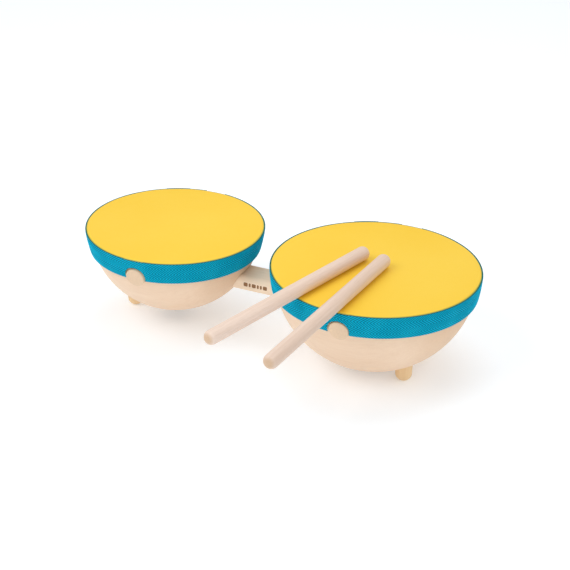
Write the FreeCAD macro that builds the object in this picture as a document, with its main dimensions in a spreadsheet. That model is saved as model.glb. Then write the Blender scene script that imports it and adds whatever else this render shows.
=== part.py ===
"""Two-headed bongo for small hands: two turned wooden bowls on a bridge, with a pair of mallets.

Each drum is drawn about its own axis, with z = 0 at the playing surface, and is then placed at the
height of the playing surface. The row's frame has +Z up, +X from the small (left) drum to the big
(right) one, and its origin on the floor, under the middle of everything.
"""
import FreeCAD, Part
import math
import os
import re

import Sketcher

SIDES = ("left", "right")
TOWARDS_BRIDGE = {"left": 1, "right": -1}

# Driving sizes, in millimetres and degrees. "drop" means below the playing surface.
SIZES = {
    "head_height": 93.6,         # playing surface above the floor
    "drum_spacing": 197.0,       # between the axes of the two drums
    "left_head_radius": 81.8,
    "right_head_radius": 92.0,
    "left_waist_radius": 76.0,   # bowl's outside at the lower edge of the band
    "right_waist_radius": 87.8,
    "left_crown_drop": 1.0,      # centre of the bowl's round outside
    "right_crown_drop": 3.0,
    "left_base_drop": 76.0,      # flat base of the bowl
    "right_base_drop": 87.0,
    "wall": 7.0,
    "sound_hole_radius": 12.5,
    "head_thickness": 1.4,
    "skirt_drop": 18.0,          # lower edge of the head, under the band
    "glue_gap": 0.05,
    "band_width": 20.8,
    "band_drop": 0.4,            # upper edge of the band
    "band_edge": 0.6,            # band's thickness at its upper and lower edges
    "band_crown_radius": 36.0,   # of the band's bulging outside, seen in section
    "left_band_flare": 0.3,      # room under the band's lower edge
    "right_band_flare": 0.4,
    "tack_head": 0.5,
    "tack_head_radius": 3.0,
    "tack_shank_radius": 0.6,
    "tack_shank": 7.0,
    "tack_drop": 6.6,
    "tack_count": 12,
    "peg_radius": 8.8,
    "peg_drop": 18.6,
    "peg_proud": -0.8,           # middle of the peg's face beyond the edge of the playing surface
    "left_peg_shift": 1.6,       # from the drum's own axis, towards the big drum
    "right_peg_shift": 1.7,
    "dowel_grip": 2.0,           # how far a dowel's inner end passes the bowl's wall
    "dowel_edge": 1.0,
    "peg_gap": 0.3,
    "foot_radius": 7.5,
    "foot_edge": 6.8,
    "left_foot_reach": 44.9,     # from the drum's axis to the foot's
    "right_foot_reach": 43.7,
    "right_foot_turn": 29.0,     # each side of the bridge's line
    "bridge_drop": 31.5,         # top of the bridge
    "bridge_width": 28.0,
    "bridge_thickness": 15.0,
    "bridge_edge": 5.0,
    "screw_spacing": 13.0,
    "screw_radius": 2.0,
    "screw_length": 20.0,
    "screw_head_radius": 4.0,
    "screw_head": 2.6,
    "screw_point": 3.0,
    "screw_gap": 0.2,
    "drive_slot": 1.1,           # width of the cross recess
    "drive_depth": 1.4,
    "washer_radius": 4.8,
    "washer_thickness": 0.8,
    "mallet_radius": 6.3,
    "mallet_length": 207.3,
    "mallet_edge": 5.6,
    "mallet_lift": 0.3,          # clear of the playing surface
    "left_mallet_across": 56.7,  # mallet's middle, from the midpoint between the drums
    "left_mallet_ahead": 89.2,
    "left_mallet_turn": 74.14,
    "right_mallet_across": 96.0,
    "right_mallet_ahead": 98.8,
    "right_mallet_turn": 84.6,
}

document = FreeCAD.newDocument("Bongo")
sheet = document.addObject("Spreadsheet::Sheet", "Sizes")
for row, (alias, size) in enumerate(SIZES.items(), start=1):
    sheet.set(f"A{row}", alias)
    sheet.set(f"B{row}", str(size))
    sheet.setAlias(f"B{row}", alias)
document.recompute()

# Lengths that follow from the driving sizes. "@" stands for the side of the drum.
DERIVED = {
    "WAIST_DROP": "(band_drop + band_width)",
    "TAPER": "((@_head_radius - head_thickness - glue_gap - @_waist_radius)"
             " / (WAIST_DROP - head_thickness - glue_gap))",
    "BOWL_RADIUS": "sqrt(@_waist_radius ^ 2 + (WAIST_DROP - @_crown_drop) ^ 2)",
    "PEG_TILT": "atan((peg_drop - @_crown_drop) / (@_head_radius + peg_proud))",
    "MIDDLE_X": "((right_head_radius - left_head_radius) / 2)",
    "FRONT_REACH": "(right_mallet_ahead + mallet_length / 2 * sin(right_mallet_turn * 1 deg))",
    "MIDDLE_Y": "((right_head_radius - FRONT_REACH) / 2)",
    "SCREW_DROP": "(bridge_drop + bridge_thickness / 2)",
    "SCREW_SEAT": "(sqrt((BOWL_RADIUS - wall) ^ 2"
                  " - (SCREW_DROP - @_crown_drop - washer_radius - screw_gap) ^ 2) + screw_gap)",
}


def bound(text, side=""):
    """Return text as an expression on the sheet, for one side of the object."""
    while any(name in text for name in DERIVED):
        for name, meaning in DERIVED.items():
            text = re.sub(rf"\b{name}\b", meaning, text)
    text = text.replace("@", side)
    return re.sub(r"[a-z_]+", lambda word: f"Sizes.{word[0]}" if word[0] in SIZES else word[0], text)


def length(text, side=""):
    """Work an expression out as a plain number."""
    result = sheet.evalExpression(bound(text, side))
    return float(getattr(result, "Value", result))


def turned_placement(axis):
    """A placement whose rotation is about axis, so that its angle can be bound."""
    return FreeCAD.Placement(FreeCAD.Vector(), FreeCAD.Rotation(FreeCAD.Vector(*axis), 1))


def place(piece, x="0", y="0", z="0", side="", turn=None):
    """Bind a piece's place to the sheet, in the row's frame, and its turn about +Z."""
    if turn is not None:
        piece.Placement = turned_placement((0, 0, 1))
        piece.setExpression("Placement.Rotation.Angle", bound(f"({turn}) * 1 deg", side))
    piece.setExpression("Placement.Base.x", bound(f"{x} - MIDDLE_X", side))
    piece.setExpression("Placement.Base.y", bound(f"{y} - MIDDLE_Y", side))
    piece.setExpression("Placement.Base.z", bound(z, side))


def drum_x(side):
    """Place of a drum's axis along the row's X."""
    return f"{-TOWARDS_BRIDGE[side]} * drum_spacing / 2"


def new_body(label):
    body = document.addObject("PartDesign::Body", label)
    body.Label = label
    return body


def plane(body, role):
    return next(item for item in body.Origin.OriginFeatures if item.Role == role)


def new_sketch(body, name, role, shift=None, side=""):
    """Add a sketch on one of the body's own planes, moved along the plane's normal by shift."""
    sketch = body.newObject("Sketcher::SketchObject", name)
    sketch.AttachmentSupport = (plane(body, role), [""])
    sketch.MapMode = "FlatFace"
    if shift:
        sketch.setExpression("AttachmentOffset.Base.z", bound(shift, side))
    return sketch


def fix_point(sketch, name, geometry, end, x, y, side):
    """Hold one end of a line, or a centre, at its bound distances from the sketch's origin."""
    for kind, axis, text in (("X", -2, x), ("Y", -1, y)):
        if text == "0":
            sketch.addConstraint(Sketcher.Constraint("PointOnObject", geometry, end, axis))
            continue
        size = length(text, side)
        index = sketch.addConstraint(Sketcher.Constraint(f"Distance{kind}", -1, 1, geometry, end, size))
        label = f"{name}_{kind.lower()}"
        sketch.renameConstraint(index, label)
        sketch.setExpression(f"Constraints.{label}", bound(text, side))


def bind_radius(sketch, name, geometry, radius, side):
    index = sketch.addConstraint(Sketcher.Constraint("Radius", geometry, length(radius, side)))
    sketch.renameConstraint(index, f"{name}_radius")
    sketch.setExpression(f"Constraints.{name}_radius", bound(radius, side))


def arc_between(start, end, radius, turn):
    """Return an arc from start to end, and whether it is drawn backwards.

    turn is 1 where the path bends to its left, and -1 where it bends to its right.
    """
    chord = end - start
    half = chord.Length / 2
    normal = FreeCAD.Vector(-chord.y, chord.x, 0).normalize()
    centre = (start + end) / 2 + normal * (turn * math.sqrt(max(radius ** 2 - half ** 2, 0)))
    first, last = (start, end) if turn > 0 else (end, start)
    angles = [math.atan2(point.y - centre.y, point.x - centre.x) for point in (first, last)]
    circle = Part.Circle(centre, FreeCAD.Vector(0, 0, 1), radius)
    return Part.ArcOfCircle(circle, *angles), turn < 0


def outline(sketch, corners, arcs=None, side=""):
    """Draw a closed outline. Edge i runs from corner i to the next, and arcs gives (radius, turn)."""
    arcs = arcs or {}
    points = [FreeCAD.Vector(length(x, side), length(y, side), 0) for x, y in corners]
    ends = []
    for i, start in enumerate(points):
        end = points[(i + 1) % len(points)]
        backwards = False
        if i in arcs:
            radius, turn = arcs[i]
            edge, backwards = arc_between(start, end, length(radius, side), turn)
        else:
            edge = Part.LineSegment(start, end)
        sketch.addGeometry(edge, False)
        ends.append((2, 1) if backwards else (1, 2))
    for i, (start, end) in enumerate(ends):
        following = (i + 1) % len(ends)
        sketch.addConstraint(Sketcher.Constraint("Coincident", i, end, following, ends[following][0]))
    for i, (x, y) in enumerate(corners):
        fix_point(sketch, f"corner_{i}", i, ends[i][0], x, y, side)
    for i, (radius, _) in arcs.items():
        bind_radius(sketch, f"bend_{i}", i, radius, side)


def round_hole(sketch, name, x, y, radius, side=""):
    """Draw one circle, with its centre and radius bound."""
    centre = FreeCAD.Vector(length(x, side), length(y, side), 0)
    index = sketch.addGeometry(Part.Circle(centre, FreeCAD.Vector(0, 0, 1), length(radius, side)), False)
    fix_point(sketch, name, index, 3, x, y, side)
    bind_radius(sketch, name, index, radius, side)


def revolve(body, sketch, name, axis="V_Axis"):
    feature = body.newObject("PartDesign::Revolution", name)
    feature.Profile = sketch
    feature.ReferenceAxis = (sketch, [axis])
    feature.Angle = 360
    sketch.Visibility = False
    return feature


def cut(body, sketch, name, depth=None, backwards=False, side=""):
    """Pocket a sketch, right through the piece or to a bound depth, and make sure that it cuts."""
    document.recompute()
    before = body.Shape.Volume
    feature = body.newObject("PartDesign::Pocket", name)
    feature.Profile = sketch
    feature.Reversed = backwards
    if depth is None:
        feature.Type = "ThroughAll"
    else:
        feature.Type = "Length"
        feature.setExpression("Length", bound(depth, side))
    document.recompute()
    if not feature.Shape.Volume < before - 1e-6:
        raise RuntimeError(f"{body.Label}: {name} cuts nothing")
    return feature


def cut_for_pegs(body, radius, side):
    """Bore front and back for a drum's pegs, along lines through the centre of the bowl.

    Each bore starts inside the bowl, where it is already below the playing surface.
    """
    start = "(@_waist_radius - 2 * wall)"
    for name, facing in (("Front", -1), ("Rear", 1)):
        bore = new_sketch(body, f"{name}PegBore", "XZ_Plane", f"{-facing} * {start}", side)
        bore.AttachmentOffset = turned_placement((1, 0, 0))
        bore.setExpression("AttachmentOffset.Base.y", bound(f"-@_crown_drop - {start} * tan(PEG_TILT)", side))
        bore.setExpression("AttachmentOffset.Rotation.Angle", bound(f"{-facing} * PEG_TILT", side))
        round_hole(bore, "peg", "@_peg_shift", "0", radius, side)
        cut(body, bore, f"{name}PegHole", backwards=facing < 0)


def bowl(side):
    """Turned wooden bowl: a tapered rim for the head and band, a round wall and a flat base."""
    body = new_body(f"{side}_bowl")
    section = new_sketch(body, "Section", "XZ_Plane")
    rim = "(@_head_radius - head_thickness - glue_gap)"
    rim_drop = "-(head_thickness + glue_gap)"
    waist_drop = "-WAIST_DROP"
    inner_base = "(@_base_drop - wall)"
    outer_flat = "sqrt(BOWL_RADIUS ^ 2 - (@_base_drop - @_crown_drop) ^ 2)"
    inner_flat = f"sqrt((BOWL_RADIUS - wall) ^ 2 - ({inner_base} - @_crown_drop) ^ 2)"
    inner_waist = "sqrt((BOWL_RADIUS - wall) ^ 2 - (WAIST_DROP - @_crown_drop) ^ 2)"
    corners = [
        (f"{rim} - wall", rim_drop),
        (rim, rim_drop),
        ("@_waist_radius", waist_drop),
        (outer_flat, "-@_base_drop"),
        ("sound_hole_radius", "-@_base_drop"),
        ("sound_hole_radius", f"-{inner_base}"),
        (inner_flat, f"-{inner_base}"),
        (inner_waist, waist_drop),
    ]
    outline(section, corners, {2: ("BOWL_RADIUS", -1), 6: ("BOWL_RADIUS - wall", 1)}, side)
    revolve(body, section, "Turned")

    cut_for_pegs(body, "peg_radius + glue_gap", side)
    feet = new_sketch(body, "FootHoles", "XY_Plane")
    for number, (x, y) in enumerate(foot_places(side)):
        round_hole(feet, f"foot_{number}", x, y, "foot_radius + glue_gap", side)
    cut(body, feet, "FootBore")

    inward = TOWARDS_BRIDGE[side] < 0
    for name, radius, depth in (
        ("ScrewHoles", "screw_radius + screw_gap", None),
        ("ScrewSeats", "washer_radius + screw_gap", "SCREW_SEAT"),
    ):
        holes = new_sketch(body, name, "YZ_Plane")
        for number, y in enumerate(screw_places()):
            round_hole(holes, f"screw_{number}", y, "-SCREW_DROP", radius, side)
        cut(body, holes, name.replace("s", ""), depth, backwards=not inward, side=side)
    place(body, drum_x(side), z="head_height", side=side)
    return body


def head(side):
    """Stretched sheet: a flat playing surface, rolled over the rim, with a skirt down its outside."""
    body = new_body(f"{side}_head")
    section = new_sketch(body, "Section", "XZ_Plane")
    skirt_shift = "TAPER * (skirt_drop - head_thickness)"
    # The skirt's inside keeps the glue gap from the bowl's rim, however much the rim tapers.
    clear = "TAPER * glue_gap"
    corners = [
        ("0", "0"),
        ("0", "-head_thickness"),
        (f"@_head_radius - head_thickness + {clear}", "-head_thickness"),
        (f"@_head_radius - head_thickness - {skirt_shift} + {clear}", "-skirt_drop"),
        (f"@_head_radius - {skirt_shift}", "-skirt_drop"),
        ("@_head_radius", "-head_thickness"),
        ("@_head_radius - head_thickness", "0"),
    ]
    outline(section, corners, {5: ("head_thickness", 1)}, side)
    revolve(body, section, "Stretched")
    cut_for_pegs(body, "peg_radius + peg_gap", side)
    place(body, drum_x(side), z="head_height", side=side)
    return body


def band(side):
    """Woven band over the skirt, bulging a little, and notched around the two pegs."""
    body = new_body(f"{side}_band")
    section = new_sketch(body, "Section", "XZ_Plane")
    top = "(@_head_radius + glue_gap)"
    foot = f"({top} - TAPER * (WAIST_DROP - head_thickness) + @_band_flare)"
    corners = [
        (top, "-band_drop"),
        (top, "-head_thickness"),
        (foot, "-WAIST_DROP"),
        (f"{foot} + band_edge", "-WAIST_DROP"),
        (f"{top} + band_edge", "-band_drop"),
    ]
    outline(section, corners, {3: ("band_crown_radius", 1)}, side)
    revolve(body, section, "Woven")
    cut_for_pegs(body, "peg_radius + peg_gap", side)
    place(body, drum_x(side), z="head_height", side=side)
    return body


def tacks(side):
    """Ring of tacks that hold the skirt to the bowl, hidden by the band."""
    body = new_body(f"{side}_head_tacks")
    body.AllowCompound = True
    section = new_sketch(body, "Section", "XY_Plane")
    # Square to the skirt, with the head's outside flush with it.
    section.AttachmentOffset = turned_placement((0, 1, 0))
    section.setExpression("AttachmentOffset.Rotation.Angle", bound("atan(TAPER)", side))
    seat = "@_head_radius - TAPER * (tack_drop - head_thickness)"
    section.setExpression("AttachmentOffset.Base.x", bound(seat, side))
    corners = [
        ("-tack_shank", "0"),
        ("0", "0"),
        ("0", "tack_head_radius"),
        ("-tack_head", "tack_head_radius"),
        ("-tack_head", "tack_shank_radius"),
        ("-(tack_shank - 3 * tack_shank_radius)", "tack_shank_radius"),
    ]
    outline(section, corners, side=side)
    one = revolve(body, section, "Tack", "H_Axis")
    ring = body.newObject("PartDesign::PolarPattern", "Ring")
    ring.Originals = [one]
    ring.Axis = (plane(body, "Z_Axis"), [""])
    ring.Angle = 360
    ring.setExpression("Occurrences", bound("tack_count"))
    body.Tip = ring
    # Half a pitch round, so that no tack meets a peg.
    place(body, drum_x(side), z="head_height - tack_drop", side=side, turn="180 / tack_count")
    return body


def foot_places(side):
    """Centres of a drum's feet: one on the small drum, two on the big one, on the outer side."""
    if side == "left":
        return [("-left_foot_reach", "0")]
    across = "right_foot_reach * cos(right_foot_turn * 1 deg)"
    along = "right_foot_reach * sin(right_foot_turn * 1 deg)"
    return [(across, f"-{along}"), (across, along)]


def screw_places():
    return ["-screw_spacing / 2", "screw_spacing / 2"]


def dowel(label, radius, reach, edge, plain_edge, side):
    """Round dowel along +Z: a rounded outer end at z = 0, a slightly eased inner end at reach."""
    body = new_body(label)
    section = new_sketch(body, "Section", "XZ_Plane")
    corners = [
        ("0", "0"),
        (f"{radius} - {edge}", "0"),
        (radius, edge),
        (radius, f"{reach} - {plain_edge}"),
        (f"{radius} - {plain_edge}", reach),
        ("0", reach),
    ]
    outline(section, corners, {1: (edge, 1)}, side)
    revolve(body, section, "Turned")
    return body


def foot(label, side, x, y):
    """Foot: a dowel glued upright through the bowl's wall."""
    uphill = "(@_foot_reach + foot_radius)"
    top = f"(@_crown_drop + sqrt((BOWL_RADIUS - wall) ^ 2 - {uphill} ^ 2) - dowel_grip)"
    body = dowel(label, "foot_radius", f"(head_height - {top})", "foot_edge", "dowel_edge", side)
    place(body, f"{drum_x(side)} + {x}", y, side=side)
    return body


def peg(label, side, facing):
    """Peg: a dowel glued square through the bowl's round wall, its face just beyond the band."""
    wall_inside = "sqrt((BOWL_RADIUS - wall) ^ 2 - peg_radius ^ 2)"
    reach = f"((@_head_radius + peg_proud) / cos(PEG_TILT) - {wall_inside} + dowel_grip)"
    body = dowel(label, "peg_radius", reach, "dowel_edge", "dowel_edge", side)
    body.Placement = turned_placement((1, 0, 0))
    body.setExpression("Placement.Rotation.Angle", bound(f"{facing} * (90 deg - PEG_TILT)", side))
    across = f"{drum_x(side)} + @_peg_shift"
    place(body, across, f"{facing} * (@_head_radius + peg_proud)", "head_height - peg_drop", side)
    return body


def bridge():
    """Flat bar between the bowls, hollowed at each end to the bowl's round outside."""
    body = new_body("bridge_bar")
    section = new_sketch(body, "Section", "YZ_Plane")
    half = "(bridge_width / 2)"
    top = "(head_height - bridge_drop)"
    base = f"({top} - bridge_thickness)"
    corners = [
        (f"-({half} - bridge_edge)", base),
        (f"{half} - bridge_edge", base),
        (half, f"{base} + bridge_edge"),
        (half, f"{top} - bridge_edge"),
        (f"{half} - bridge_edge", top),
        (f"-({half} - bridge_edge)", top),
        (f"-{half}", f"{top} - bridge_edge"),
        (f"-{half}", f"{base} + bridge_edge"),
    ]
    outline(section, corners, {edge: ("bridge_edge", 1) for edge in (1, 3, 5, 7)})
    bar = body.newObject("PartDesign::Pad", "Bar")
    bar.Profile = section
    bar.Midplane = True
    bar.setExpression("Length", bound("drum_spacing"))
    for side in SIDES:
        hollow = body.newObject("PartDesign::SubtractiveSphere", f"{side}_hollow")
        hollow.setExpression("Radius", bound("BOWL_RADIUS + glue_gap", side))
        hollow.setExpression("Placement.Base.x", bound(drum_x(side)))
        hollow.setExpression("Placement.Base.z", bound("head_height - @_crown_drop", side))
    for side in SIDES:
        outward = -TOWARDS_BRIDGE[side]
        start = f"{outward} * (drum_spacing / 2 - SCREW_SEAT - screw_length - screw_gap)"
        pilots = new_sketch(body, f"{side}_pilots", "YZ_Plane", start, side)
        for number, y in enumerate(screw_places()):
            round_hole(pilots, f"screw_{number}", y, "head_height - SCREW_DROP", "screw_radius + glue_gap")
        cut(body, pilots, f"{side}_pilot", "drum_spacing / 2", backwards=outward > 0)
    place(body)
    return body


def bridge_fastener(label, side, corners, cross_recess=False):
    """Pair of round fasteners on the bowl's inner seats. x runs from the washer's seat to the tip."""
    body = new_body(label)
    body.AllowCompound = True
    section = new_sketch(body, "Section", "XY_Plane")
    outline(section, corners)
    parts = [revolve(body, section, "Turned", "H_Axis")]
    if cross_recess:
        recess = new_sketch(body, "Recess", "YZ_Plane", "-(washer_thickness + screw_head)")
        half, arm = "(drive_slot / 2)", "(screw_head_radius * 0.55)"
        steps = [(arm, half), (half, half), (half, arm)]
        mirrored = [(1, 1, steps), (-1, 1, steps[::-1]), (-1, -1, steps), (1, -1, steps[::-1])]
        cross = [(f"{sx} * {x}", f"{sy} * {y}") for sx, sy, part in mirrored for x, y in part]
        outline(recess, cross)
        parts.append(cut(body, recess, "CrossRecess", "drive_depth", backwards=True))
    pair = body.newObject("PartDesign::LinearPattern", "Pair")
    pair.Originals = parts
    pair.Direction = (plane(body, "Y_Axis"), [""])
    pair.Occurrences = len(screw_places())
    pair.setExpression("Length", bound("screw_spacing"))
    body.Tip = pair
    # Turned half round on the big drum, where the screws point the other way.
    way = TOWARDS_BRIDGE[side]
    body.Placement.Rotation = FreeCAD.Rotation(FreeCAD.Vector(0, 0, 1), 0 if way > 0 else 180)
    seat = f"{drum_x(side)} + {way} * SCREW_SEAT"
    place(body, seat, f"{-way} * screw_spacing / 2", "head_height - SCREW_DROP", side)
    return body


def washers(side):
    corners = [
        ("-washer_thickness", "screw_radius + screw_gap"),
        ("0", "screw_radius + screw_gap"),
        ("0", "washer_radius"),
        ("-washer_thickness", "washer_radius"),
    ]
    return bridge_fastener(f"{side}_bridge_washers", side, corners)


def screws(side):
    """Pan-head wood screws, with a plain shank where the thread would be."""
    under = "(washer_thickness + glue_gap)"
    corners = [
        (f"-({under} + screw_head)", "0"),
        ("screw_length", "0"),
        ("screw_length - screw_point", "screw_radius"),
        (f"-{under}", "screw_radius"),
        (f"-{under}", "screw_head_radius"),
        (f"-({under} + screw_head / 2)", "screw_head_radius"),
        (f"-({under} + screw_head)", "screw_head_radius * 0.7"),
    ]
    return bridge_fastener(f"{side}_bridge_screws", side, corners, cross_recess=True)


def mallet(side):
    """Plain round stick with rounded ends, lying across the front of the big drum."""
    body = new_body(f"{side}_mallet")
    section = new_sketch(body, "Section", "XY_Plane")
    half = "(mallet_length / 2)"
    corners = [
        (f"-{half}", "0"),
        (half, "0"),
        (half, "mallet_radius - mallet_edge"),
        (f"{half} - mallet_edge", "mallet_radius"),
        (f"-({half} - mallet_edge)", "mallet_radius"),
        (f"-{half}", "mallet_radius - mallet_edge"),
    ]
    outline(section, corners, {2: ("mallet_edge", 1), 4: ("mallet_edge", 1)})
    revolve(body, section, "Turned", "H_Axis")
    rest = "head_height + mallet_lift + mallet_radius"
    place(body, "@_mallet_across", "-@_mallet_ahead", rest, side, turn="@_mallet_turn")
    return body


def build():
    """Make every sub-part, in the order in which the object is put together."""
    pieces = []
    for side in SIDES:
        pieces.append(bowl(side))
        names = ["left_foot"] if side == "left" else ["right_front_foot", "right_rear_foot"]
        for name, (x, y) in zip(names, foot_places(side)):
            pieces.append(foot(name, side, x, y))
    pieces.append(bridge())
    for side in SIDES:
        pieces += [washers(side), screws(side), head(side), tacks(side), band(side)]
        pieces += [peg(f"{side}_front_peg", side, -1), peg(f"{side}_rear_peg", side, 1)]
    pieces += [mallet(side) for side in SIDES]
    return pieces


def check(pieces):
    """Stop if any feature failed, or any piece has no sound solid."""
    for item in document.Objects:
        if "Invalid" in item.State or "Error" in item.State:
            raise RuntimeError(f"{item.Label} failed: {item.State}")
    for piece in pieces:
        if piece.Shape.isNull() or not piece.Shape.isValid() or not piece.Shape.Solids:
            raise RuntimeError(f"{piece.Label} is not a sound solid")


parts = build()
document.recompute()
check(parts)
os.makedirs("parts", exist_ok=True)
for part in parts:
    part.Shape.exportStep(f"parts/{part.Label}.step")
    box = part.Shape.BoundBox
    print(f"{part.Label:24s} {len(part.Shape.Solids):3d} solids {part.Shape.Volume:10.1f} mm3  "
          f"x {box.XMin:.1f}..{box.XMax:.1f}  y {box.YMin:.1f}..{box.YMax:.1f}  z {box.ZMin:.1f}..{box.ZMax:.1f}")
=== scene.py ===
"""A child's pair of bongo drums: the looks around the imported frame.

Heads and bands are built here as the sheets they are. Turned wood and fasteners keep their CAD
shapes and get procedural materials. Everything is in metres, in the row's frame.
"""

import math

import bpy
import numpy as np
from mathutils import Matrix, Vector


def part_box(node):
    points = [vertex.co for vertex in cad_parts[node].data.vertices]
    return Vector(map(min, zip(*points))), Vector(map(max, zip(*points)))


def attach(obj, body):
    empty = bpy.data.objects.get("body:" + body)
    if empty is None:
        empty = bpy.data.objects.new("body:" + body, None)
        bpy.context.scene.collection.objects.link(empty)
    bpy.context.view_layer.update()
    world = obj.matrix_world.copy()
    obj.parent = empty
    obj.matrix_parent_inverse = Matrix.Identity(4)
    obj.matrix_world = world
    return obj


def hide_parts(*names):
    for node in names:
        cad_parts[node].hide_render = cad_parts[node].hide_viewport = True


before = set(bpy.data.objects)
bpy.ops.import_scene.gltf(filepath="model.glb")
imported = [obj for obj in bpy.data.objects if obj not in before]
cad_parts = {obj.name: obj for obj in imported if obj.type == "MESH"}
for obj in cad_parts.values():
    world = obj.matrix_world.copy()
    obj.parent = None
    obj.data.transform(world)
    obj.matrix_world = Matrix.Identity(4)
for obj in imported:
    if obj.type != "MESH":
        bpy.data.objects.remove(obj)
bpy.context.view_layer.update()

MM = 0.001
SIDES = ("left", "right")
FEET = {"left": ["left_foot"], "right": ["right_front_foot", "right_rear_foot"]}
PEG_FACING = {"front": Vector((0, -1, 0)), "rear": Vector((0, 1, 0))}
ALONG = Vector((1, 0, 0))
UP = Vector((0, 0, 1))

# Heads
HEAD_THICKNESS = 1.4 * MM
HEAD_COLUMNS = 576              # points around a head
HEAD_CENTRE = 2.0 * MM          # radius of the first ring, which is closed by a fan
HEAD_ROLL = 2.0 * MM            # radius of the head where it turns down over the rim
HEAD_FINE = 12.0 * MM           # width of the closely spaced rings inside the roll
HEAD_PULLED = 9.0 * MM          # width that the tacks pull on
HEAD_RIPPLE = 0.12 * MM         # pull of the tacks, seen at the rim
TACKS = 12
SKIRT_DROP = 18.0 * MM
SKIRT_NOTCH_GAP = 1.6 * MM      # clear of the peg

# Bands
BAND_THICKNESS = 0.9 * MM
BAND_ROWS = 38                  # points across the band
BAND_NOTCH_GAP = 0.7 * MM       # clear of the peg
BAND_NOTCH_SHIFT = 0.6 * MM
BAND_BULGE = 0.45 * MM          # rounding of the webbing between its two edges
SELVEDGE = 0.9 * MM             # plain woven edge, without ribs
RIB_PITCH = 2.7 * MM            # of the twill, along the band
RIB_HEIGHT = 0.42 * MM
RIB_STEPS = 6                   # points along one rib's pitch
RIB_SLOPE = 1.3                 # how far a rib runs along the band for each step across it
CHEVRON_WIDTH = 5.2 * MM        # of one column of the herringbone
WARP_PITCH = 0.42 * MM          # of the fine threads that cross the ribs
WEFT_PITCH = 0.5 * MM

# Laps, where a band's ends are sewn together
LAP_ANGLE = 116                 # degrees from +X: behind each drum, clear of the rear peg
LAP_LENGTH = 22 * MM
LAP_COLUMNS = 48                # points along the lap
LAP_LIFT = 0.96                 # lap's stand-off, as a share of the band's thickness
STITCH_LENGTH = 2.0 * MM
STITCH_RADIUS = 0.28 * MM
STITCH_PITCH = 1.35             # in stitch lengths
STITCH_ROWS = (7 / 60, 14 / 60, 46 / 60, 53 / 60)   # shares of the lap's length
STITCH_STEPS = 8                # points along a stitch, and around it

# Mark on the bar
DASH_WIDTH = 4.0 * MM
DOT_WIDTH = 1.9 * MM
MARK_GAP = 1.1 * MM
MARK_DEPTH = 0.06 * MM
MARK_ASIDE = 3.6 * MM           # to the left of the bar's middle
MARK_LEVEL = 0.52               # share of the bar's height

# Colours. Wood has a pale and a deep colour for its figure, and one for its end grain.
BOWL_WOOD = (0.92, 0.70, 0.515), (0.82, 0.58, 0.40), (0.78, 0.53, 0.34)
PEG_WOOD = (0.86, 0.66, 0.46), (0.76, 0.54, 0.34), (0.81, 0.59, 0.40)
FOOT_WOOD = (0.98, 0.72, 0.42), (0.86, 0.59, 0.32), (0.92, 0.66, 0.39)
STICK_WOOD = (0.88, 0.71, 0.60), (0.76, 0.57, 0.45), (0.72, 0.50, 0.33)
BAR_WOOD = (0.96, 0.77, 0.58), (0.90, 0.68, 0.49), (0.80, 0.57, 0.39)
# The last head colour is painted shade, for the roll over the rim.
HEAD_PALE, HEAD_DEEP, HEAD_ROLL_SHADE = (0.97, 0.65, 0.062), (0.96, 0.615, 0.042), (0.52, 0.56, 0.12)
# The band's pale and deep colours also paint light on the ribs and shade in their grooves.
BAND_PALE, BAND_DEEP, BAND_WORN = (0.002, 0.50, 0.73), (0.0, 0.10, 0.17), (0.02, 0.60, 0.80)
# Painted shade along the band's top edge, where it meets the head.
BAND_TOP_SHADE = (0.02, 0.14, 0.13)
STEEL_DARK, STEEL_BRIGHT = (0.50, 0.50, 0.52), (0.66, 0.66, 0.67)
BURNT_DARK, BURNT_BROWN = (0.22, 0.10, 0.04), (0.36, 0.19, 0.085)

# Camera, about the midpoint between the two playing surfaces
CAMERA_AZIMUTH = 23.26
CAMERA_ELEVATION = 27.69
CAMERA_ROLL = 1.18
CAMERA_DISTANCE = 1.2298
CAMERA_AIM = (10.7 * MM, -36.5 * MM)    # right of that midpoint in the view, and up from it
CAMERA_LENS = 86.6
SENSOR = 36.0

# Studio
FLOOR_SIZE = 24.0
FLOOR_STEPS = 24                # squares along one side
FLOOR_COLOUR = (0.89, 0.93, 0.97, 1)
FLOOR_GLOW = (0.93, 0.97, 1, 1)


def drum(side):
    """Axis, playing height and radius of a drum's head, from its CAD node."""
    low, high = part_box(f"{side}_head")
    return Vector(((low.x + high.x) / 2, (low.y + high.y) / 2, high.z)), (high.x - low.x) / 2


DRUMS = {side: drum(side) for side in SIDES}


def node_points(node):
    """A CAD node's vertices, in the row's frame."""
    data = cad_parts[node].data
    points = np.empty(len(data.vertices) * 3)
    data.vertices.foreach_get("co", points)
    return points.reshape(-1, 3)


def dowel_axis(node, outward):
    """Middle of a dowel's outer face, the direction in which it faces, and the dowel's radius."""
    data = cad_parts[node].data
    facing = [face for face in data.polygons if face.normal.dot(outward) > 0.9]
    area = sum(face.area for face in facing)
    normal = sum((face.normal * face.area for face in facing), Vector()).normalized()
    middle = sum((face.center * face.area for face in facing), Vector()) / area
    points = node_points(node) - np.array(middle)
    across = points - np.outer(points @ np.array(normal), np.array(normal))
    return middle, normal, float(np.linalg.norm(across, axis=1).max())


# ---------------------------------------------------------------- sheets

def turned(profile, turn, centre=(0, 0, 0)):
    """Points or normals (ring, column, xyz) of a profile of (radius, height), at angles turn."""
    radius, height = profile[:, 0, None], profile[:, 1, None]
    return np.stack([
        centre[0] + radius * np.cos(turn),
        centre[1] + radius * np.sin(turn),
        centre[2] + height + 0 * turn,
    ], axis=-1)


def axis_distance(points, middle, direction):
    """Distance of points from a line, and the nearest places on it."""
    middle, direction = np.array(middle), np.array(direction)
    on_line = middle + ((points - middle) @ direction)[..., None] * direction
    return np.linalg.norm(points - on_line, axis=-1), on_line


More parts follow.
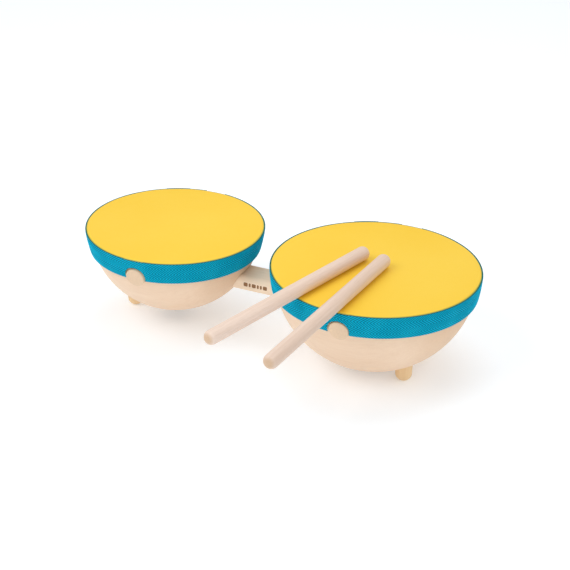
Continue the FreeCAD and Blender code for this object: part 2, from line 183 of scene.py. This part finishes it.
def shell(name, middle, normals, half, edges, closed=True, notches=(), uv=None, cap=False):
    """A sheet with two faces and rounded edges, built on a grid of points through its middle.

    half is half its thickness at each point, and edges is each point's distance from a free edge.
    closed joins the last column to the first. notches are (middle, direction, radius) of round
    holes. cap fills the first ring with a fan.
    """
    rings, columns, _ = middle.shape
    keep = np.ones((rings, columns), bool)
    near = edges
    for centre, direction, radius in notches:
        distance, on_line = axis_distance(middle, centre, direction)
        same_side = np.linalg.norm(on_line - np.array(centre), axis=-1) < radius
        inside = (distance < radius) & same_side
        keep &= ~inside
        # The kept points beside the hole move onto its edge.
        around = np.zeros_like(inside)
        for step in ((1, 0), (-1, 0), (0, 1), (0, -1), (1, 1), (-1, -1), (1, -1), (-1, 1)):
            around |= np.roll(inside, step, (0, 1))
        around &= ~inside & same_side
        spread = (radius / np.maximum(distance, 1e-9))[..., None]
        middle = np.where(around[..., None], on_line + (middle - on_line) * spread, middle)
        distance = np.where(around, radius, distance)
        near = np.where(same_side, np.minimum(near, np.maximum(distance - radius, 0)), near)
    # Over the last half thickness the two faces close in on each other, as a rounded edge.
    ease = np.clip(1 - near / np.maximum(half, 1e-9), 0, 0.97)
    offset = (half * np.sqrt(1 - ease ** 2))[..., None] * normals
    outer, inner = middle + offset, middle - offset

    index = np.arange(rings * columns).reshape(rings, columns)
    spans = columns if closed else columns - 1
    first, last = index[:, :spans], np.roll(index, -1, 1)[:, :spans]
    quads = np.stack([first[:-1], first[1:], last[1:], last[:-1]], axis=-1).reshape(-1, 4)
    quads = quads[keep.ravel()[quads].all(axis=1)]
    count = rings * columns
    sides = np.stack([quads, np.roll(quads, -1, 1)], axis=-1).reshape(-1, 2)
    if cap:
        fan = np.stack([index[0], np.roll(index[0], -1)], axis=-1)
        sides = np.vstack([sides, fan])
    codes = sides[:, 0].astype(np.int64) * count + sides[:, 1]
    back = sides[:, 1].astype(np.int64) * count + sides[:, 0]
    free = sides[~np.isin(codes, back)]
    rim = np.stack([free[:, 1], free[:, 0], free[:, 0] + count, free[:, 1] + count], axis=-1)
    faces = [*quads.tolist(), *(quads[:, ::-1] + count).tolist(), *rim.tolist()]
    points = np.vstack([outer.reshape(-1, 3), inner.reshape(-1, 3)])
    if cap:
        poles = [len(points), len(points) + 1]
        points = np.vstack([points, outer[0].mean(0), inner[0].mean(0)])
        faces += [[a, b, poles[0]] for a, b in fan.tolist()]
        faces += [[b + count, a + count, poles[1]] for a, b in fan.tolist()]
    return mesh_piece(name, points, faces, uv)


def mesh_piece(name, points, faces, uv=None, smooth=True):
    """A mesh object without its unused points, with an optional UV place for each point."""
    used = np.zeros(len(points), bool)
    for face in faces:
        used[face] = True
    new_index = np.cumsum(used) - 1
    data = bpy.data.meshes.new(name)
    data.from_pydata(points[used].tolist(), [], [new_index[face].tolist() for face in faces])
    data.validate()
    if smooth:
        data.shade_smooth()
    if uv is not None:
        both = np.vstack([uv.reshape(-1, 2)] * 2)[used]
        corners = np.empty(len(data.loops), int)
        data.loops.foreach_get("vertex_index", corners)
        layer = data.uv_layers.new(name="weave")
        layer.data.foreach_set("uv", both[corners].astype(np.float32).ravel())
    piece = bpy.data.objects.new(name, data)
    bpy.context.scene.collection.objects.link(piece)
    return piece


def profile_normals(profile):
    """Unit normals (radius, height) of a profile, to the left of its direction of travel."""
    along = np.gradient(profile, axis=0)
    along /= np.linalg.norm(along, axis=1, keepdims=True)
    return np.stack([-along[:, 1], along[:, 0]], axis=-1)


def pegs(side, gap, shift=0.0):
    """Round notches around a drum's two pegs, moved a little along the drum's edge by shift."""
    holes = []
    for end, outward in PEG_FACING.items():
        middle, direction, radius = dowel_axis(f"{side}_{end}_peg", outward)
        holes.append((middle - Vector((shift, 0, 0)), direction, radius + gap))
    return holes


def band_line(side):
    """Top and foot of the band's inner face, as (radius, height below the playing surface)."""
    centre, _ = DRUMS[side]
    points = node_points(f"{side}_band") - np.array(centre)
    radius, height = np.hypot(points[:, 0], points[:, 1]), points[:, 2]
    top, foot, slack = height.max(), height.min(), 0.05 * MM
    at_top = radius[height > top - slack].min()
    at_foot = radius[height < foot + slack].min()
    return np.array([at_top, top]), np.array([at_foot, foot])


def head(side):
    """Stretched sheet: flat on top, rolled over the rim, with its skirt under the band."""
    centre, radius = DRUMS[side]
    half = HEAD_THICKNESS / 2
    band_top, band_foot = band_line(side)
    lean = (band_top[0] - band_foot[0]) / (band_top[1] - band_foot[1])
    flat_end = radius - HEAD_ROLL
    # The rings are wide apart in the middle, and close at the rim and down the skirt.
    flat = [(r, -half) for r in np.linspace(HEAD_CENTRE, flat_end - HEAD_FINE, 14)[:-1]]
    flat += [(r, -half) for r in np.linspace(flat_end - HEAD_FINE, flat_end, 16)]
    bend = HEAD_ROLL - half
    stop = math.pi / 2 - math.atan(lean)
    roll = [
        (flat_end + bend * math.sin(t), -HEAD_ROLL + bend * math.cos(t))
        for t in np.linspace(0, stop, 12)[1:]
    ]
    start = roll[-1]
    skirt = [
        (start[0] + lean * (z - start[1]), z) for z in np.linspace(start[1], -SKIRT_DROP, 36)[1:]
    ]
    profile = np.array(flat + roll + skirt)
    turn = np.arange(HEAD_COLUMNS) * (2 * math.pi / HEAD_COLUMNS)
    middle = turned(profile, turn, centre)
    normals = turned(profile_normals(profile), turn)
    # The tacks pull the sheet down a little at the rim.
    near_rim = np.clip((profile[:, 0] - (flat_end - HEAD_PULLED)) / HEAD_PULLED, 0, 1) ** 2
    near_rim = np.where(profile[:, 1] < -HEAD_ROLL, 0, near_rim)
    ripple = HEAD_RIPPLE * 0.5 * (1 - np.cos(TACKS * (turn - math.pi / TACKS)))
    middle[..., 2] -= near_rim[:, None] * ripple
    edges = np.repeat((profile[:, 1] + SKIRT_DROP)[:, None], HEAD_COLUMNS, 1)
    edges[: len(flat) + len(roll)] = np.inf
    piece = shell(
        f"{side}_head_sheet", middle, normals, np.full(edges.shape, half), edges,
        notches=pegs(side, SKIRT_NOTCH_GAP), cap=True,
    )
    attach(piece, "root")
    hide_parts(f"{side}_head")
    return piece


def herringbone(along, across):
    """Height of the twill's ribs, from 0 to 1, at places on the webbing."""
    column = np.floor(across / CHEVRON_WIDTH)
    within = across - (column + 0.5) * CHEVRON_WIDTH
    way = np.where(column % 2 < 1, 1.0, -1.0)
    ribs = (along + way * within * RIB_SLOPE) / RIB_PITCH
    return 0.5 + 0.5 * np.cos(2 * math.pi * ribs)


def webbing_profile(side, lift=0.0):
    """Webbing's section around a drum as (radius, height), its width and its mean radius.

    lift is how far it stands off the drum.
    """
    top, foot = band_line(side)
    slant = foot - top
    width = np.linalg.norm(slant)
    out = np.array([-slant[1], slant[0]]) / width
    share = np.linspace(0, 1, BAND_ROWS)
    bulge = BAND_BULGE * 4 * share * (1 - share)
    profile = top + share[:, None] * slant
    profile = profile + (bulge + BAND_THICKNESS / 2 + lift)[:, None] * out
    return profile, width, float(profile[:, 0].mean())


def webbing(name, side, start, stop, columns, closed, lift=0.0, notches=()):
    """A length of herringbone webbing between two angles, with its ribs on both faces."""
    profile, width, reach = webbing_profile(side, lift)
    turn = np.linspace(start, stop, columns)
    middle = turned(profile, turn, DRUMS[side][0])
    normals = turned(profile_normals(profile), turn)
    along = np.broadcast_to(turn * reach, middle.shape[:2])
    down = np.broadcast_to((np.linspace(0, 1, BAND_ROWS) * width)[:, None], middle.shape[:2])
    near = np.minimum(down, width - down)
    if not closed:
        ends = np.minimum(along - start * reach, stop * reach - along)
        near = np.minimum(near, ends)
    # The ribs fade out towards the selvedge.
    woven = np.clip(near / SELVEDGE - 0.35, 0, 1)
    ribs = herringbone(along, down - width / 2)
    half = BAND_THICKNESS / 2 + woven * RIB_HEIGHT * (ribs - 0.5)
    uv = np.stack([along, down - width / 2], axis=-1)
    piece = shell(name, middle, normals, half, near, closed=closed, notches=notches, uv=uv)
    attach(piece, "root")
    return piece


def band(side):
    """Woven band around the drum, with its lap and the stitches that hold the lap."""
    _, width, reach = webbing_profile(side)
    # A whole number of ribs goes round, so that the weave meets itself.
    columns = RIB_STEPS * round(2 * math.pi * reach / RIB_PITCH)
    full = 2 * math.pi * (columns - 1) / columns
    middle = math.radians(LAP_ANGLE)
    piece = webbing(
        f"{side}_band_webbing", side, middle, middle + full, columns, True,
        notches=pegs(side, BAND_NOTCH_GAP, BAND_NOTCH_SHIFT),
    )
    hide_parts(f"{side}_band")
    turn = LAP_LENGTH / reach / 2
    lift = BAND_THICKNESS * LAP_LIFT
    lap = webbing(
        f"{side}_band_lap", side, middle - turn, middle + turn, LAP_COLUMNS, False, lift,
    )
    thread = stitches(side, middle, turn, width, lift)
    return piece, lap, thread, width


def stitch(place, across, out, first):
    """Points and faces of a loop of thread that arches over place, numbered from first."""
    sideways = np.cross(across, out)
    points, faces = [], []
    for step in range(STITCH_STEPS + 1):
        t = step / STITCH_STEPS * 2 - 1
        arch = STITCH_RADIUS * (1 - t * t) - STITCH_RADIUS * 0.6
        thick = STITCH_RADIUS * math.sqrt(max(1 - (abs(t) ** 4), 0.02))
        middle = place + across * (t * STITCH_LENGTH / 2) + out * arch
        for number in range(STITCH_STEPS):
            angle = 2 * math.pi * number / STITCH_STEPS
            points.append(middle + thick * (math.cos(angle) * out + math.sin(angle) * sideways))
    for ring in range(first, first + STITCH_STEPS * STITCH_STEPS, STITCH_STEPS):
        for number in range(STITCH_STEPS):
            a, b = ring + number, ring + (number + 1) % STITCH_STEPS
            faces.append([a, b, b + STITCH_STEPS, a + STITCH_STEPS])
    last = first + STITCH_STEPS * STITCH_STEPS
    faces.append([first + number for number in range(STITCH_STEPS)][::-1])
    faces.append([last + number for number in range(STITCH_STEPS)])
    return points, faces


def stitches(side, middle, turn, width, lift):
    """Rows of stitches across the lap, two near each end."""
    profile, _, _ = webbing_profile(side, lift + BAND_THICKNESS / 2)
    angles = middle - turn + 2 * turn * np.array(STITCH_ROWS)
    lines = turned(profile, angles, DRUMS[side][0])
    normals = turned(profile_normals(profile), angles)
    points, faces = [], []
    count = int(width / (STITCH_LENGTH * STITCH_PITCH))
    for column in range(len(STITCH_ROWS)):
        for number in range(count):
            row = (number + 0.7) / (count + 0.4) * (BAND_ROWS - 1)
            above = int(row)
            across = lines[above + 1, column] - lines[above, column]
            place = lines[above, column] + across * (row - above)
            across /= np.linalg.norm(across)
            loop, sides = stitch(place, across, normals[above, column], len(points))
            points += loop
            faces += sides
    piece = mesh_piece(f"{side}_band_stitches", np.array(points), faces)
    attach(piece, "root")
    return piece


# ---------------------------------------------------------------- materials

class Nodes:
    """A short way to write a material's nodes. Each call returns the new node's first output."""

    def __init__(self, name):
        self.material = bpy.data.materials.new(name)
        self.material.use_nodes = True
        self.tree = self.material.node_tree
        self.tree.nodes.clear()
        output = self.tree.nodes.new("ShaderNodeOutputMaterial")
        self.shader = self.tree.nodes.new("ShaderNodeBsdfPrincipled")
        self.tree.links.new(self.shader.outputs[0], output.inputs["Surface"])

    def put(self, socket, value):
        """Link or set one input; None leaves it as it is."""
        if isinstance(value, bpy.types.NodeSocket):
            self.tree.links.new(value, socket)
        elif value is not None:
            socket.default_value = value

    def new(self, kind, *values, output=0, **settings):
        """Any node, with its inputs in their order and its settings by name."""
        node = self.tree.nodes.new(f"ShaderNode{kind}")
        for name, value in settings.items():
            setattr(node, name, value)
        for socket, value in zip(node.inputs, values):
            self.put(socket, value)
        return node.outputs[output]

    def math(self, operation, a, b=None, c=None):
        return self.new("Math", a, b, c, operation=operation)

    def coordinates(self, kind="Object"):
        return self.tree.nodes.new("ShaderNodeTexCoord").outputs[kind]

    def noise(self, vector, scale, detail, roughness):
        """Noise of one scale, or of three scales along the axes."""
        if hasattr(scale, "__len__"):
            vector, scale = self.new("Mapping", vector, None, None, scale), 1.0
        node = self.tree.nodes.new("ShaderNodeTexNoise")
        self.put(node.inputs["Vector"], vector)
        self.put(node.inputs["Scale"], scale)
        self.put(node.inputs["Detail"], detail)
        self.put(node.inputs["Roughness"], roughness)
        return node.outputs["Fac"]

    def ramp(self, value, *stops):
        """Colours or grey levels at places from 0 to 1."""
        node = self.tree.nodes.new("ShaderNodeValToRGB")
        self.put(node.inputs[0], value)
        points = node.color_ramp.elements
        while len(points) < len(stops):
            points.new(0.5)
        for point, (place, colour) in zip(points, stops):
            point.position = place
            point.color = (*colour, 1) if hasattr(colour, "__len__") else (colour,) * 3 + (1,)
        return node.outputs[0]

    def mix(self, share, a, b):
        """Colour between a and b."""
        node = self.tree.nodes.new("ShaderNodeMix")
        node.data_type = "RGBA"
        self.put(node.inputs[0], share)
        self.put(node.inputs[6], a if isinstance(a, bpy.types.NodeSocket) else (*a, 1))
        self.put(node.inputs[7], b if isinstance(b, bpy.types.NodeSocket) else (*b, 1))
        return node.outputs[2]

    def bump(self, height, distance, strength, below=None):
        """Normals of a relief, which may lie on another relief's normals, below."""
        node = self.tree.nodes.new("ShaderNodeBump")
        self.put(node.inputs["Height"], height)
        self.put(node.inputs["Distance"], distance)
        self.put(node.inputs["Strength"], strength)
        if below is not None:
            self.put(node.inputs["Normal"], below)
        return node.outputs["Normal"]

    def set(self, **values):
        """Set the shader's inputs and return the material."""
        for name, value in values.items():
            self.put(self.shader.inputs[name.replace("_", " ")], value)
        return self.material


def wood(name, grain, colours, figure, seed):
    """Sanded close-grained wood whose fibres run along grain.

    colours are the pale and the deep colour of its figure, and the colour of its end grain. figure
    is how strongly it is figured, and seed is where in the timber the piece is cut.
    """
    pale, deep, end = colours
    n = Nodes(name)
    turn = Vector(grain).normalized().rotation_difference(ALONG).to_euler("XYZ")
    offset = (seed, 0.37 * seed, 0.61 * seed)
    place = n.new("Mapping", n.coordinates(), offset, tuple(turn))
    broad = n.noise(place, (3.5, 42, 42), 3.0, 0.55)
    streaks = n.noise(place, (9, 420, 420), 3.0, 0.6)
    pores = n.noise(place, (90, 2600, 2600), 1.0, 0.4)
    blend = n.math("ADD", n.math("MULTIPLY", broad, 0.65), n.math("MULTIPLY", streaks, 0.35))
    share = n.ramp(blend, (0.5 - 0.17 / figure, 0.0), (0.5 + 0.17 / figure, 1.0))
    colour = n.mix(share, pale, deep)
    flecks = n.ramp(pores, (0.30, 1.0), (0.42, 0.0))
    colour = n.mix(n.math("MULTIPLY", flecks, 0.16 * figure), colour, tuple(0.72 * c for c in deep))

    facing = n.new(
        "VectorMath", n.coordinates("Normal"), Vector(grain).normalized(),
        operation="DOT_PRODUCT", output="Value",
    )
    ends = n.ramp(n.math("ABSOLUTE", facing), (0.55, 0.0), (0.95, 1.0))
    rings = n.noise(place, (60, 700, 700), 2.0, 0.6)
    end_colour = n.mix(n.ramp(rings, (0.3, 0.0), (0.7, 1.0)), end, tuple(0.92 * c for c in end))
    colour = n.mix(ends, colour, end_colour)

    rough = n.math("MULTIPLY_ADD", streaks, 0.16, 0.44)
    fibre = n.bump(streaks, 0.05 * MM, 0.6)
    fine = n.bump(pores, 0.02 * MM, 0.5, fibre)
    return n.set(Base_Color=colour, Roughness=rough, Normal=fine, Specular_IOR_Level=0.35)


def rubber(name):
    """Matt yellow rubber sheet, a little mottled, with a fine pebble."""
    n = Nodes(name)
    place = n.coordinates()
    cloud = n.noise(place, 9.0, 2.0, 0.5)
    mottle = n.noise(place, 160.0, 3.0, 0.6)
    pebble = n.noise(place, 2600.0, 1.0, 0.5)
    colour = n.mix(n.ramp(cloud, (0.3, 0.0), (0.7, 1.0)), HEAD_PALE, HEAD_DEEP)
    colour = n.mix(n.math("MULTIPLY", mottle, 0.10), colour, tuple(0.9 * c for c in HEAD_DEEP))
    # The roll over the rim is painted shade: an olive green, darker than the playing surface.
    height = n.new("SeparateXYZ", place, output=2)
    drop = n.math("SUBTRACT", DRUMS["left"][0].z, height)
    roll_shade = n.ramp(n.math("DIVIDE", drop, HEAD_ROLL), (0.12, 0.0), (0.5, 1.0))
    colour = n.mix(roll_shade, colour, HEAD_ROLL_SHADE)
    rough = n.math("MULTIPLY_ADD", mottle, 0.12, 0.46)
    soft = n.bump(mottle, 0.12 * MM, 0.35)
    return n.set(
        Base_Color=colour, Roughness=rough, Normal=n.bump(pebble, 0.03 * MM, 0.5, soft),
        Specular_IOR_Level=0.22,
    )


def webbing_material(name, width):
    """Herringbone webbing: painted light on the ribs, painted shade in the grooves; threads follow
    the weave.
    """
    n = Nodes(name)
    at = n.new("SeparateXYZ", n.new("UVMap", uv_map="weave"))
    across = at.node.outputs[1]
    column = n.math("FLOOR", n.math("DIVIDE", across, CHEVRON_WIDTH))
    odd = n.math("FLOORED_MODULO", column, 2.0)
    way = n.math("MULTIPLY_ADD", odd, -2.0, 1.0)
    edge = n.math("MULTIPLY", n.math("ADD", column, 0.5), CHEVRON_WIDTH)
    within = n.math("SUBTRACT", across, edge)
    slide = n.math("MULTIPLY", n.math("MULTIPLY", way, within), RIB_SLOPE)
    turns = n.math("DIVIDE", n.math("ADD", at, slide), RIB_PITCH)
    wave = n.math("COSINE", n.math("MULTIPLY", turns, 2 * math.pi))
    rib = n.math("MULTIPLY_ADD", wave, 0.5, 0.5)
    # Fine threads across each rib.
    counter = n.math("SUBTRACT", at, slide)
    warp = n.math("SINE", n.math("MULTIPLY", counter, 2 * math.pi / WARP_PITCH))
    weft = n.math("SINE", n.math("MULTIPLY", across, 2 * math.pi / WEFT_PITCH))
    thread = n.math("MULTIPLY_ADD", n.math("MULTIPLY", warp, weft), 0.5, 0.5)
    place = n.coordinates()
    wear = n.noise(place, 45.0, 3.0, 0.6)
    lint = n.noise(place, 1400.0, 2.0, 0.6)
    # Painted light and shade: the ribs' tops are pale and the grooves between them deep.
    colour = n.mix(n.ramp(rib, (0.05, 0.0), (0.7, 1.0)), BAND_DEEP, BAND_PALE)
    colour = n.mix(n.math("MULTIPLY", thread, 0.22), colour, BAND_DEEP)
    worn = n.math("MULTIPLY", n.ramp(wear, (0.45, 0.0), (0.75, 1.0)), 0.25)
    colour = n.mix(worn, colour, BAND_WORN)
    colour = n.mix(n.math("MULTIPLY", lint, 0.12), colour, BAND_WORN)
    # The band's top edge, next to the head, is painted darker: painted shade where the band meets
    # the head.
    below = n.math("DIVIDE", n.math("ADD", across, width / 2), 2 * MM)
    colour = n.mix(n.ramp(below, (0.12, 1.0), (0.35, 0.0)), colour, BAND_TOP_SHADE)
    woven = n.bump(thread, 0.10 * MM, 0.7)
    return n.set(
        Base_Color=colour, Roughness=0.72, Normal=n.bump(lint, 0.06 * MM, 0.5, woven),
        Specular_IOR_Level=0.04,
    )


def thread_material(name):
    """Twisted thread of the webbing's colours."""
    n = Nodes(name)
    place = n.coordinates()
    twist = n.noise(place, 2200.0, 2.0, 0.5)
    colour = n.mix(twist, BAND_DEEP, BAND_WORN)
    return n.set(Base_Color=colour, Roughness=0.6, Normal=n.bump(twist, 0.05 * MM, 0.6))


def steel(name):
    """Bright steel with fine scratches."""
    n = Nodes(name)
    place = n.coordinates()
    scratch = n.noise(place, (900, 300, 4200), 2.0, 0.6)
    colour = n.mix(scratch, STEEL_DARK, STEEL_BRIGHT)
    rough = n.math("MULTIPLY_ADD", scratch, 0.2, 0.26)
    return n.set(
        Base_Color=colour, Metallic=1.0, Roughness=rough, Normal=n.bump(scratch, 0.02 * MM, 0.3),
    )


def scorched(name):
    """Brown burn mark in wood."""
    n = Nodes(name)
    place = n.coordinates()
    char = n.noise(place, 900.0, 3.0, 0.6)
    colour = n.mix(char, BURNT_DARK, BURNT_BROWN)
    return n.set(Base_Color=colour, Roughness=0.75, Normal=n.bump(char, 0.06 * MM, 0.6))


def paint(piece, material):
    """Give a piece one material, in every slot that it has."""
    slots = piece.data.materials
    if not slots:
        slots.append(material)
    for number in range(len(slots)):
        slots[number] = material


def dress_wood():
    """Give every wooden node its own cut of wood, with the grain along the piece."""
    for number, side in enumerate(SIDES):
        bowl = wood(f"{side}_bowl_wood", ALONG, BOWL_WOOD, 0.8, 1.3 + number)
        paint(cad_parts[f"{side}_bowl"], bowl)
        for end, outward in PEG_FACING.items():
            node = f"{side}_{end}_peg"
            _, axis, _ = dowel_axis(node, outward)
            paint(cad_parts[node], wood(f"{node}_wood", axis, PEG_WOOD, 1, 3.1 + number))
        for node in FEET[side]:
            paint(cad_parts[node], wood(f"{node}_wood", UP, FOOT_WOOD, 1, 5.7 + number))
        node = f"{side}_mallet"
        points = node_points(node)
        axis = Vector(np.linalg.svd(points - points.mean(0), full_matrices=False)[2][0])
        paint(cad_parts[node], wood(f"{node}_wood", axis, STICK_WOOD, 1.35, 7.9 + number))
    paint(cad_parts["bridge_bar"], wood("bridge_wood", ALONG, BAR_WOOD, 1.1, 11.2))


def dress_steel():
    """Give the tacks, screws and washers bright steel."""
    for side in SIDES:
        metal = steel(f"{side}_fastener_steel")
        for kind in ("head_tacks", "bridge_screws", "bridge_washers"):
            paint(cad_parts[f"{side}_{kind}"], metal)


def mark():
    """A plain row of dashes and dots, burnt into the front of the bar."""
    low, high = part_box("bridge_bar")
    row = [DASH_WIDTH, DOT_WIDTH, DASH_WIDTH, DOT_WIDTH, DOT_WIDTH, DASH_WIDTH]
    total = sum(row) + MARK_GAP * (len(row) - 1)
    left = (low.x + high.x) / 2 - MARK_ASIDE - total / 2
    level = low.z + MARK_LEVEL * (high.z - low.z)
    corner = DOT_WIDTH / 2
    points, faces = [], []
    for width in row:
        right, top, foot = left + width - corner, level + corner, level - corner
        outline = []
        for quarter, (x, z) in enumerate((
            (right, top), (left + corner, top), (left + corner, foot), (right, foot),
        )):
            for step in range(7):
                angle = (quarter + step / 6) * math.pi / 2
                outline.append((x + corner * math.cos(angle), z + corner * math.sin(angle)))
        base, count = len(points), len(outline)
        for depth in (-MARK_DEPTH, MARK_DEPTH):
            points += [(x, low.y + depth, z) for x, z in outline]
        faces.append([base + k for k in range(count)])
        faces.append([base + count + k for k in range(count)][::-1])
        faces += [
            [base + k, base + count + k, base + count + (k + 1) % count, base + (k + 1) % count]
            for k in range(count)
        ]
        left += width + MARK_GAP
    piece = mesh_piece("bar_burnt_motif", np.array(points), faces, smooth=False)
    paint(piece, scorched("burnt_wood"))
    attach(piece, "root")


# ---------------------------------------------------------------- studio

def floor():
    """Pale matt paper that reaches past the horizon, with a faint glow of its own."""
    line = np.linspace(-FLOOR_SIZE / 2, FLOOR_SIZE / 2, FLOOR_STEPS + 1)
    points = np.array([(x, y, 0.0) for y in line for x in line])
    ahead = FLOOR_STEPS + 1
    faces = [
        [row * ahead + column + corner for corner in (0, 1, ahead + 1, ahead)]
        for row in range(FLOOR_STEPS) for column in range(FLOOR_STEPS)
    ]
    piece = mesh_piece("studio_floor", points, faces)
    n = Nodes("studio_paper")
    place = n.coordinates()
    tooth = n.noise(place, 900.0, 2.0, 0.5)
    paint(piece, n.set(
        Base_Color=FLOOR_COLOUR, Roughness=0.9, Specular_IOR_Level=0.1,
        Normal=n.bump(tooth, 0.02 * MM, 0.2), Emission_Color=FLOOR_GLOW, Emission_Strength=0.24,
    ))


def hang(data, place, aim):
    """Hang a lamp at place, turned towards aim."""
    light = bpy.data.objects.new(data.name, data)
    light.location = place
    light.rotation_euler = (aim - Vector(place)).to_track_quat("-Z", "Y").to_euler()
    bpy.context.scene.collection.objects.link(light)


def lamp(name, place, aim, size, power):
    """A large soft round lamp."""
    data = bpy.data.lights.new(name, "AREA")
    data.shape = "DISK"
    data.size = size
    data.energy = power
    hang(data, place, aim)


def spot(name, place, aim, angle, power):
    """A narrow warm lamp with soft edges."""
    data = bpy.data.lights.new(name, "SPOT")
    data.spot_size = math.radians(angle)
    data.spot_blend = 1.0
    data.shadow_soft_size = 0.1
    data.color = (1.0, 0.93, 0.86)
    data.energy = power
    hang(data, place, aim)


def studio():
    """White surroundings, three soft lamps, and a spot for the bar, which the drums shade."""
    world = bpy.data.worlds.new("studio")
    bpy.context.scene.world = world
    world.use_nodes = True
    background = world.node_tree.nodes["Background"]
    background.inputs["Color"].default_value = (1, 1, 1, 1)
    background.inputs["Strength"].default_value = 0.62
    middle = (DRUMS["left"][0] + DRUMS["right"][0]) / 2
    lamp("key", (-0.75, -0.9, 1.35), middle, size=1.1, power=8.5)
    lamp("fill", (1.1, -0.5, 0.9), middle, size=1.2, power=1.9)
    lamp("top", (0.0, 0.5, 1.6), middle, size=1.2, power=6.0)
    low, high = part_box("bridge_bar")
    spot("bar_spot", (0.1, -0.85, 0.85), (low + high) / 2, angle=5.0, power=16.0)
    bpy.context.scene.view_settings.view_transform = "Standard"


def camera():
    """The camera, placed by its angles, distance and aim."""
    middle = (DRUMS["left"][0] + DRUMS["right"][0]) / 2
    azimuth, elevation, roll = (
        math.radians(angle) for angle in (CAMERA_AZIMUTH, CAMERA_ELEVATION, CAMERA_ROLL)
    )
    back = Vector((
        math.sin(azimuth) * math.cos(elevation),
        -math.cos(azimuth) * math.cos(elevation),
        math.sin(elevation),
    ))
    level = Vector((math.cos(azimuth), math.sin(azimuth), 0))
    over = back.cross(level)
    right = level * math.cos(roll) + over * math.sin(roll)
    upward = over * math.cos(roll) - level * math.sin(roll)
    aim = middle + right * CAMERA_AIM[0] + upward * CAMERA_AIM[1]
    data = bpy.data.cameras.new("camera")
    data.sensor_width = SENSOR
    data.lens = CAMERA_LENS
    data.clip_start, data.clip_end = 0.01, 20
    view = bpy.data.objects.new("camera", data)
    turn = Matrix((right, upward, back)).transposed()
    view.matrix_world = Matrix.Translation(aim + back * CAMERA_DISTANCE) @ turn.to_4x4()
    bpy.context.scene.collection.objects.link(view)
    bpy.context.scene.camera = view


def build():
    """Make the sheets, give every piece its material and burn the mark into the bar."""
    yellow = rubber("head_rubber")
    sewn = thread_material("band_thread")
    for side in SIDES:
        paint(head(side), yellow)
        cloth, lap, seam, width = band(side)
        teal = webbing_material(f"{side}_band_webbing", width)
        paint(cloth, teal)
        paint(lap, teal)
        paint(seam, sewn)
    dress_wood()
    dress_steel()
    mark()


camera()
studio()
floor()
build()
